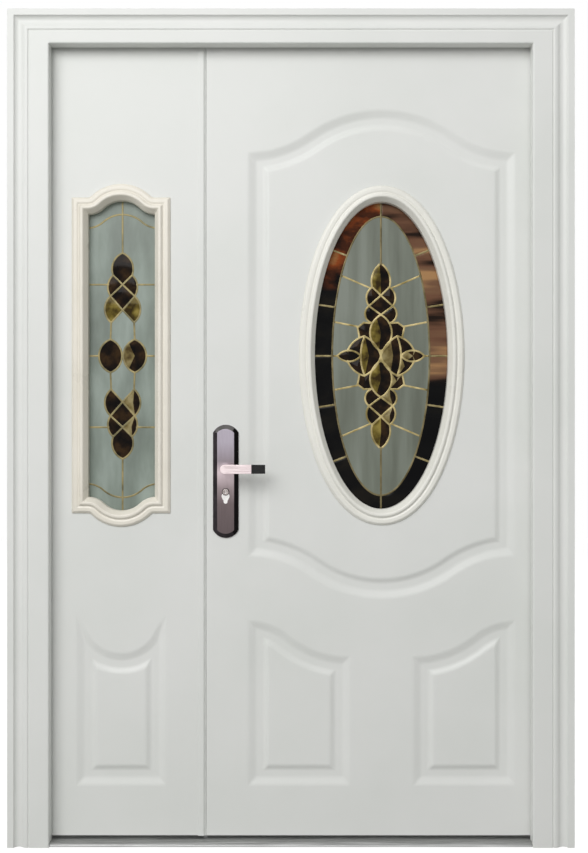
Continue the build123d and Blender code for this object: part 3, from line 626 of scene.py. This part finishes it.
for node, brass in (("oval_cames", oval_brass), ("arch_cames", arch_brass)):
    came = blank(node, node + "_soldered", CAME_WELD)
    select_faces(came, is_broad)
    bpy.ops.mesh.inset(thickness=CAME_ROUND, depth=0.0, use_even_offset=True)
    bpy.ops.mesh.select_mode(type="VERT")
    bpy.ops.mesh.select_all(action="DESELECT")
    mesh = bmesh.from_edit_mesh(came.data)
    for face in mesh.faces:
        if abs(face.normal.y) < CAME_WALL:
            for vertex in face.verts:
                vertex.select_set(True)
    bmesh.update_edit_mesh(came.data)
    bpy.ops.transform.resize(value=(1.0, CAME_EDGE_SHARE, 1.0), center_override=(0.0, 0.0, 0.0))
    bpy.ops.object.mode_set(mode="OBJECT")
    smooth(came, 50)
    fit(came, node, "brass_came", brass)


# Frosted glass: acid-etched panes of grey-green glass, cut to the shapes between the cames,
# with faint streaks from the rollers that drew the sheet.

oval_frost = finish(
    "frosted glass",
    (srgb(88, 93, 81), srgb(103, 109, 97), srgb(120, 126, 116)),
    grain=0.05,
    rough=(0.36, 0.5),
    relief=(0.0016, 0.00006),
    stretch=(1.0, 1.0, 0.1),
)
arch_frost = finish(
    "pale frosted glass",
    (srgb(106, 116, 107), srgb(124, 135, 126), srgb(144, 155, 147)),
    grain=0.07,
    rough=(0.36, 0.5),
    relief=(0.0016, 0.00006),
    stretch=(1.0, 1.0, 0.3),
)
coat_node("oval_frosted_glass", oval_frost)
coat_node("arch_frosted_glass", arch_frost)


# Border glass: dark mirrored strips with a narrow ground edge, round the oval field. They are
# black low down, turning russet near the top on the left and banded copper over the upper part
# on the right.

GROUND_EDGE = 0.003
GROUND_RISE = 0.0006
DARK_ROUGH = (0.06, 0.12)
DARK_SHINE = 0.08
COPPER_FROM = (1.14, 1.17)
RUSSET_FROM = (1.38, 1.43)
MIX_SHARE, MIX_UNDER, MIX_OVER, MIX_RESULT = 0, 6, 7, 2
BLACK_TONES = (srgb(2, 2, 3), srgb(8, 8, 8), srgb(22, 19, 14))
COPPER_TONES = (
    srgb(6, 4, 3), srgb(34, 22, 15), srgb(106, 74, 56), srgb(116, 86, 64), srgb(164, 126, 86),
)
RUSSET_TONES = (srgb(12, 7, 5), srgb(70, 34, 16), srgb(140, 68, 28), srgb(160, 116, 70))


def blend_upwards(material, span, tones):
    """Lays a second set of tones over a finish, from one height to another."""
    nodes = material.node_tree.nodes
    link = material.node_tree.links.new
    base = nodes["Principled BSDF"].inputs["Base Color"]
    axes = nodes.new("ShaderNodeSeparateXYZ")
    link(nodes["Texture Coordinate"].outputs["Object"], axes.inputs["Vector"])
    share = nodes.new("ShaderNodeMapRange")
    share.inputs["From Min"].default_value = span[0]
    share.inputs["From Max"].default_value = span[1]
    link(axes.outputs["Z"], share.inputs["Value"])
    over = tone_ramp(nodes, even_steps(tones))
    link(nodes["Noise Texture"].outputs["Fac"], over.inputs["Fac"])
    cover = nodes.new("ShaderNodeMix")
    cover.data_type = "RGBA"
    link(share.outputs["Result"], cover.inputs[MIX_SHARE])
    link(base.links[0].from_socket, cover.inputs[MIX_UNDER])
    link(over.outputs["Color"], cover.inputs[MIX_OVER])
    link(cover.outputs[MIX_RESULT], base)


left_border = finish(
    "black and russet border glass",
    BLACK_TONES,
    grain=0.06,
    rough=DARK_ROUGH,
    relief=(0.05, 0.0001),
    stretch=(0.6, 1.0, 1.0),
    shine=DARK_SHINE,
)
blend_upwards(left_border, RUSSET_FROM, RUSSET_TONES)
right_border = finish(
    "black and copper border glass",
    BLACK_TONES,
    grain=0.07,
    rough=DARK_ROUGH,
    relief=(0.05, 0.0001),
    stretch=(0.12, 1.0, 1.0),
    shine=DARK_SHINE,
)
blend_upwards(right_border, COPPER_FROM, COPPER_TONES)

border = blank("oval_border_glass", "oval_border_ground", CAME_WELD)
select_faces(border, is_broad)
bpy.ops.mesh.inset(
    thickness=GROUND_EDGE, depth=GROUND_RISE, use_individual=True, use_even_offset=True,
)
bpy.ops.object.mode_set(mode="OBJECT")
border_low, border_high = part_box("oval_border_glass")
oval_axis = (border_low.x + border_high.x) / 2
for material in (left_border, right_border):
    border.data.materials.append(material)
for polygon in border.data.polygons:
    polygon.material_index = 1 if polygon.center.x > oval_axis else 0
smooth(border, 5)
fit(border, "oval_border_glass", "dark_glass")


# Bevel clusters: small pieces of dark glass, held by the cames and ground to facets that rise
# to a point. Their olive and straw tones are painted reflections, kept on the facets that lean
# left, and on every facet of one olive row in the arch.

BEVEL_WELD = 0.0005
FACET_RISE = 0.0022
FACET_LEAN = 0.05
DARK_CELL = 0.0016
# Where the painted reflections go: an olive row in the arch window, straw on the pieces low on
# the right.
OLIVE_REFLECTION_ROW = (1.315, 1.354)
STRAW_REFLECTION_FROM = 0.012
FACET_TONES = (
    ("dark facet", (srgb(8, 5, 3), srgb(26, 16, 8), srgb(52, 36, 18))),
    ("dark glass with painted olive reflection", (srgb(50, 38, 14), srgb(104, 90, 38), srgb(142, 126, 64))),
    ("dark glass with painted straw reflection", (srgb(74, 60, 34), srgb(122, 108, 68), srgb(150, 138, 100))),
)
DARK_FACET, OLIVE_REFLECTION_FACET, STRAW_REFLECTION_FACET = range(3)

facets = [
    finish(name, tones, grain=0.03, rough=DARK_ROUGH, relief=(0.02, 0.0001), shine=DARK_SHINE)
    for name, tones in FACET_TONES
]
for node in ("oval_bevels", "arch_bevels"):
    bevels = blank(node, node + "_ground", BEVEL_WELD)
    for material in facets:
        bevels.data.materials.append(material)
    low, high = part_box(node)
    middle = (low + high) / 2
    select_faces(bevels, is_broad)
    mesh = bmesh.from_edit_mesh(bevels.data)
    for face in mesh.faces:
        centre = face.calc_center_median()
        straw = centre.x > middle.x + STRAW_REFLECTION_FROM and centre.z < middle.z + STRAW_REFLECTION_FROM
        in_row = OLIVE_REFLECTION_ROW[0] < centre.z < OLIVE_REFLECTION_ROW[1]
        olive = in_row if node == "arch_bevels" else face.calc_area() > DARK_CELL
        face.material_index = STRAW_REFLECTION_FACET if straw else OLIVE_REFLECTION_FACET if olive else DARK_FACET
    bmesh.update_edit_mesh(bevels.data)
    bpy.ops.mesh.poke(offset=FACET_RISE, center_mode="MEDIAN_WEIGHTED")
    bpy.ops.object.mode_set(mode="OBJECT")
    # Facets that lean right or look straight out lose the painted reflection and turn dark,
    # except in the arch's olive row.
    for polygon in bevels.data.polygons:
        olive_reflection_through = node == "arch_bevels" and polygon.material_index == OLIVE_REFLECTION_FACET
        if polygon.normal.x > -FACET_LEAN and not olive_reflection_through:
            polygon.material_index = DARK_FACET
    smooth(bevels, 14)
    fit(bevels, node, "bevel_glass")


# Lock plates: long arched plates of satin bronze with a polished black bevel, bolted to each
# other through the leaf. The bronze has painted reflection: brightest at the lever's height and
# darker towards the foot.

PLATE_ROUND = 0.0005
PLATE_TURN = 25
PLATE_SLOPE = (0.5, 0.95)
PLATE_SIDE = 0.35
PLATE_SCREW_INSET = 0.036
COLLAR_THICK = 0.004
BRUSH_SHARE = (0.93, 1.04)
# Painted reflection on the bronze, by height on the plate: dark at the foot, bright where the
# lever is reflected, paler near the top.
PAINTED_REFLECTION_TONES = (
    (0.00, srgb(91, 81, 82)),
    (0.30, srgb(104, 93, 94)),
    (0.44, srgb(140, 127, 129)),
    (0.58, srgb(196, 180, 184)),
    (0.68, srgb(138, 129, 135)),
    (0.85, srgb(160, 153, 163)),
)
# The black bevel and two copies of it with painted light, a sheen and a highlight, chosen by
# which way each face looks.
BEVEL_TONES_WITH_PAINTED_LIGHT = (
    ("black polished bevel", (srgb(6, 3, 3), srgb(14, 10, 10))),
    ("black bevel with painted sheen", (srgb(40, 36, 38), srgb(56, 51, 54))),
    ("black bevel with painted highlight", (srgb(92, 90, 89), srgb(108, 105, 104))),
)
SATIN_FIELD, BLACK_BEVEL, SHEEN_PAINTED_BEVEL, HIGHLIGHT_PAINTED_BEVEL = range(4)

satin_bronze = finish(
    "satin bronze",
    [[share] * 3 for share in BRUSH_SHARE],
    grain=0.0016,
    rough=(0.30, 0.38),
    relief=(0.0012, 0.000005),
    metal=1.0,
    stretch=(1.0, 1.0, 0.03),
)
black_polish, bevel_painted_sheen, bevel_painted_highlight = [
    finish(name, tones, grain=0.03, rough=(0.16, 0.24), relief=(0.004, 0.00002), shine=0.06)
    for name, tones in BEVEL_TONES_WITH_PAINTED_LIGHT
]
plate_low, plate_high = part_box("outer_lock_plate")
plate_x = (plate_low.x + plate_high.x) / 2
bronze_nodes = satin_bronze.node_tree.nodes
bronze_link = satin_bronze.node_tree.links.new
# The bronze's colour is multiplied by this painted reflection, read from the height on the plate.
height = bronze_nodes.new("ShaderNodeSeparateXYZ")
bronze_link(bronze_nodes["Texture Coordinate"].outputs["Object"], height.inputs["Vector"])
painted_reflection_height = bronze_nodes.new("ShaderNodeMapRange")
painted_reflection_height.inputs["From Min"].default_value = plate_low.z
painted_reflection_height.inputs["From Max"].default_value = plate_high.z
bronze_link(height.outputs["Z"], painted_reflection_height.inputs["Value"])
toned = tone_ramp(bronze_nodes, PAINTED_REFLECTION_TONES)
bronze_link(painted_reflection_height.outputs["Result"], toned.inputs["Fac"])
tint(satin_bronze, toned.outputs["Color"])


def plate_finish(normal):
    """Which finish of the plate a face has: the black bevel has painted light, a grey highlight
    on faces that look up and a dark grey sheen on those that look left or down, and it stays
    black to the right.
    """
    if not PLATE_SLOPE[0] < abs(normal.y) < PLATE_SLOPE[1]:
        return SATIN_FIELD
    if normal.x > PLATE_SIDE:
        return BLACK_BEVEL
    return HIGHLIGHT_PAINTED_BEVEL if normal.z > PLATE_SIDE else SHEEN_PAINTED_BEVEL


for node in ("outer_lock_plate", "inner_lock_plate"):
    plate = blank(node, node + "_cast")
    for material in (satin_bronze, black_polish, bevel_painted_sheen, bevel_painted_highlight):
        plate.data.materials.append(material)
    for polygon in plate.data.polygons:
        polygon.material_index = plate_finish(polygon.normal)
    round_edges(plate, PLATE_ROUND, 2, sharper_than(PLATE_TURN))
    smooth(plate)
    fit(plate, node, "satin_bronze")

plate_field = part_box("inner_lock_plate")[1].y - COLLAR_THICK
screw_heights = (plate_low.z + PLATE_SCREW_INSET, plate_high.z - PLATE_SCREW_INSET)
places = [(plate_x, plate_field, z) for z in screw_heights]
drive_screws("inner_plate_screws", "main_leaf", places, (0.0, 1.0, 0.0))


# Levers: a flat cast bar on a turned neck, satin plated, with a black moulded grip pushed on
# its end. A square steel spindle joins the two levers through the leaf.

LEVER_WELD = 0.0003
LEVER_ROUND = 0.0008
LEVER_STAND = 0.0695
GRIP_SEAM = 0.0004

lever_satin = finish(
    "satin lever",
    (srgb(212, 196, 197), srgb(230, 215, 216)),
    grain=0.003,
    rough=(0.26, 0.34),
    relief=(0.0012, 0.00001),
    metal=1.0,
    stretch=(0.08, 1.0, 1.0),
)
black_grip = finish(
    "black grip",
    (srgb(8, 8, 8), srgb(18, 18, 18)),
    grain=0.01,
    rough=(0.22, 0.34),
    relief=(0.0012, 0.00003),
    shine=0.3,
)
grip_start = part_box("outer_lever")[1].x


def on_bar(edge):
    """An edge of the lever's bar, clear of the neck and of the seam with the grip."""
    seam = all(abs(vertex.co.x - grip_start) < GRIP_SEAM for vertex in edge.verts)
    on_face = all(abs(vertex.co.y) > LEVER_STAND for vertex in edge.verts)
    return turn(edge) > FOLD_TURN and on_face and edge.is_convex and not seam


for node, slot, material in (
    ("outer_lever", "satin_bronze", lever_satin),
    ("inner_lever", "satin_bronze", lever_satin),
    ("outer_lever_tip", "black_grip", black_grip),
    ("inner_lever_tip", "black_grip", black_grip),
):
    lever = blank(node, node + "_formed", LEVER_WELD)
    round_edges(lever, LEVER_ROUND, 3, on_bar)
    smooth(lever, 40)
    fit(lever, node, slot, material)
coat_node("lever_spindle", bare_steel)


# Key cylinder and thumb turn: bright nickelled brass, the cylinder held in the lock case by
# one long screw through the leaf's edge. Its plug turns in a blackened ring, over a polished
# drop-shaped guard that is pressed into the plate.

CYLINDER_ROUND = 0.0005
DISC_SIDES = 48
PLUG_R = 0.0092
PLUG_RING = 0.0016
RING_PROUD = 0.0004
PLUG_PROUD = 0.0014
PLUG_CROWN = (0.00048, 0.00032)
KEY_SLOT = (0.0022, 0.006, 0.0088)
PLUG_FACE, PLUG_RIM = range(2)
GUARD_R = 0.0102
GUARD_DROP = 0.0115
GUARD_STRETCH = 1.45
GUARD_TAPER = 0.45
GUARD_THICK = 0.003
GUARD_PROUD = 0.0004
GUARD_ROUND = 0.0006
GUARD_TURN = 60
SAME_ROW = 0.001

bright_nickel = finish(
    "bright nickel",
    (srgb(226, 224, 222), srgb(242, 240, 238)),
    grain=0.02,
    rough=(0.12, 0.2),
    relief=(0.002, 0.00001),
    metal=1.0,
)
plug_nickel = finish(
    "worn nickel plug",
    (srgb(150, 140, 138), srgb(178, 168, 166)),
    grain=0.004,
    rough=(0.22, 0.34),
    relief=(0.001, 0.00002),
    metal=1.0,
)
for node in ("key_cylinder", "thumb_turn"):
    turned = blank(node, node + "_turned")
    round_edges(turned, CYLINDER_ROUND, 2, sharper_than(TURNED_EDGE))
    smooth(turned)
    fit(turned, node, "bright_steel", bright_nickel)


def add_disc(radius, thick, place):
    """A round disc that faces out of the leaf, centred on a place, to be shaped."""
    bpy.ops.object.select_all(action="DESELECT")
    bpy.ops.mesh.primitive_cylinder_add(
        vertices=DISC_SIDES, radius=radius, depth=thick,
        location=place, rotation=(0.5 * math.pi, 0.0, 0.0),
    )
    bpy.ops.object.transform_apply(location=True, rotation=True, scale=True)
    return bpy.context.object


cylinder_low, cylinder_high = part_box("key_cylinder")
plug_z = cylinder_high.z - (cylinder_high.x - cylinder_low.x) / 2
plug_place = (plate_x, cylinder_low.y, plug_z)
plug = add_disc(PLUG_R, 2 * RING_PROUD, plug_place)
for material in (plug_nickel, black_polish):
    plug.data.materials.append(material)
for polygon in plug.data.polygons:
    polygon.material_index = PLUG_RIM
select_faces(plug, lambda face: face.normal.y < -FACES_STRAIGHT)
bpy.ops.mesh.inset(thickness=PLUG_RING, depth=0.0)
rise = (0.0, RING_PROUD - PLUG_PROUD, 0.0)
bpy.ops.mesh.extrude_region_move(TRANSFORM_OT_translate={"value": rise})
mesh = bmesh.from_edit_mesh(plug.data)
for face in mesh.faces:
    if face.select:
        face.material_index = PLUG_FACE
bmesh.update_edit_mesh(plug.data)
bpy.ops.mesh.inset(thickness=PLUG_CROWN[0], depth=PLUG_CROWN[1])
bpy.ops.object.mode_set(mode="OBJECT")
cut(plug, add_box(KEY_SLOT, plug_place), "Keyway")
smooth(plug)
fit_new(plug, "key_plug", "main_leaf", "bright_steel")

guard_z = plug_z - GUARD_DROP
guard_place = (plate_x, cylinder_low.y - GUARD_PROUD + GUARD_THICK / 2, guard_z)
guard = add_disc(GUARD_R, GUARD_THICK, guard_place)
drops = {round((guard_z - vertex.co.z) / GUARD_R, 4) for vertex in guard.data.vertices}
bpy.ops.object.mode_set(mode="EDIT")
bpy.ops.mesh.select_mode(type="VERT")
for drop in sorted(drops):
    if drop > 0:
        bpy.ops.mesh.select_all(action="DESELECT")
        mesh = bmesh.from_edit_mesh(guard.data)
        for vertex in mesh.verts:
            vertex.select_set(abs((guard_z - vertex.co.z) / GUARD_R - drop) < SAME_ROW)
        bmesh.update_edit_mesh(guard.data)
        bpy.ops.transform.resize(
            value=(1.0 - GUARD_TAPER * drop, 1.0, GUARD_STRETCH), center_override=guard_place,
        )
bpy.ops.object.mode_set(mode="OBJECT")
round_edges(guard, GUARD_ROUND, 3, sharper_than(GUARD_TURN))
smooth(guard)
fit_new(guard, "key_guard", "main_leaf", "bright_steel", bright_nickel)


# Edge plates: the lock's steel faceplate with its latch and bolts, the strike plate across
# from it and the flush bolts' plates, let in flush and held by two screws each.

LOCK_SCREWS = (0.42, 0.944)
FLUSH_SCREWS = (0.08, 0.92)

for node in ("lock_faceplate", "strike_plate", "flush_bolts", "lock_bolts"):
    coat_node(node, bare_steel)
for node, body, facing, heights in (
    ("lock_faceplate", "main_leaf", -1, LOCK_SCREWS),
    ("strike_plate", "side_leaf", 1, LOCK_SCREWS),
    ("flush_bolts", "side_leaf", 1, FLUSH_SCREWS),
):
    places = []
    for low, high in solid_boxes(node):
        inset = (high.x - low.x - STRAP_THICK) / 2
        x = low.x + inset if facing < 0 else high.x - inset
        for share in heights:
            places.append((x, 0.0, low.z + share * (high.z - low.z)))
    drive_screws(node + "_screws", body, places, (facing, 0.0, 0.0))
bpy.data.objects.remove(screw_head)


# Meeting strip: a flat steel strip in the leaves' white paint, welded to the front of the
# narrow leaf along its meeting edge.

STRIP_ROUND = 0.0009

strip = blank("meeting_strip", "meeting_strip_folded")
round_edges(strip, STRIP_ROUND, 3, sharper_than(TURNED_EDGE))
smooth(strip)
fit(strip, "meeting_strip", "white_paint", white_paint)


# Stage: a pale floor, a surround that is brighter overhead, and a broad lamp on the street
# side and on the room side, seen from the street at waist height.

CAMERA_PLACE = (0.0076, -2.662, 1.039)
CAMERA_LENS = 64.5
CAMERA_SENSOR = 36.0
FLOOR_SIZE = 14.0
FLOOR_GLOW = 0.75
WHITE = (1.0, 1.0, 1.0, 1.0)
SURROUND_LIGHT = (0.18, 0.54)
SURROUND_BRIGHT_SIDE = (-0.42, -0.45, 0.79)
SURROUND_SEEN = 1.0
LAMP_AIM = Vector((0.0, 0.0, 1.2))
LAMP_SIZE = (4.2, 3.0)
LAMPS = (
    ("street_lamp", (-1.7, -4.2, 3.7), 184.0),
    ("room_lamp", (1.5, 4.2, 3.6), 130.0),
)


def add_seen_share(tree):
    """1 for rays that show a thing to the camera, straight or through gloss and glass, else 0."""
    ray = tree.nodes.new("ShaderNodeLightPath")
    share = ray.outputs["Is Camera Ray"]
    for kind in ("Is Glossy Ray", "Is Transmission Ray"):
        either = tree.nodes.new("ShaderNodeMath")
        either.operation = "MAXIMUM"
        tree.links.new(share, either.inputs[0])
        tree.links.new(ray.outputs[kind], either.inputs[1])
        share = either.outputs["Value"]
    return share


bpy.ops.object.select_all(action="DESELECT")
bpy.ops.mesh.primitive_plane_add(size=FLOOR_SIZE, location=(0.0, 0.0, 0.0))
floor = bpy.context.object
floor.name = "studio_floor"
pale_floor = finish(
    "pale floor",
    (srgb(148, 148, 146), srgb(156, 156, 154)),
    grain=0.8,
    rough=(0.6, 0.7),
    relief=(0.01, 0.00005),
)
floor.data.materials.append(pale_floor)
floor_tree = pale_floor.node_tree
floor_shader = floor_tree.nodes["Principled BSDF"]
floor_shader.inputs["Emission Color"].default_value = WHITE
glow = floor_tree.nodes.new("ShaderNodeMapRange")
glow.inputs["To Max"].default_value = FLOOR_GLOW
floor_tree.links.new(add_seen_share(floor_tree), glow.inputs["Value"])
floor_tree.links.new(glow.outputs["Result"], floor_shader.inputs["Emission Strength"])

world = bpy.data.worlds.new("studio surround")
bpy.context.scene.world = world
world.use_nodes = True
air = world.node_tree
looking = air.nodes.new("ShaderNodeTexCoord")
toward = air.nodes.new("ShaderNodeVectorMath")
toward.operation = "DOT_PRODUCT"
toward.inputs[1].default_value = SURROUND_BRIGHT_SIDE
air.links.new(looking.outputs["Generated"], toward.inputs[0])
light = air.nodes.new("ShaderNodeMapRange")
light.inputs["From Min"].default_value = -1.0
light.inputs["To Min"].default_value = SURROUND_LIGHT[0]
light.inputs["To Max"].default_value = SURROUND_LIGHT[1]
air.links.new(toward.outputs["Value"], light.inputs["Value"])
level = air.nodes.new("ShaderNodeMapRange")
level.inputs["To Max"].default_value = SURROUND_SEEN
air.links.new(light.outputs["Result"], level.inputs["To Min"])
air.links.new(add_seen_share(air), level.inputs["Value"])
air.links.new(level.outputs["Result"], air.nodes["Background"].inputs["Strength"])
air.nodes["Background"].inputs["Color"].default_value = WHITE

for name, place, power in LAMPS:
    bpy.ops.object.light_add(type="AREA", location=place)
    lamp = bpy.context.object
    lamp.name = name
    lamp.data.shape = "RECTANGLE"
    lamp.data.size, lamp.data.size_y = LAMP_SIZE
    lamp.data.energy = power
    lamp.rotation_euler = (LAMP_AIM - Vector(place)).to_track_quat("-Z", "Y").to_euler()

bpy.ops.object.camera_add(location=CAMERA_PLACE, rotation=(0.5 * math.pi, 0.0, 0.0))
camera = bpy.context.object
camera.data.sensor_fit = "HORIZONTAL"
camera.data.sensor_width = CAMERA_SENSOR
camera.data.lens = CAMERA_LENS
bpy.context.scene.camera = camera
bpy.context.scene.view_settings.view_transform = "Standard"
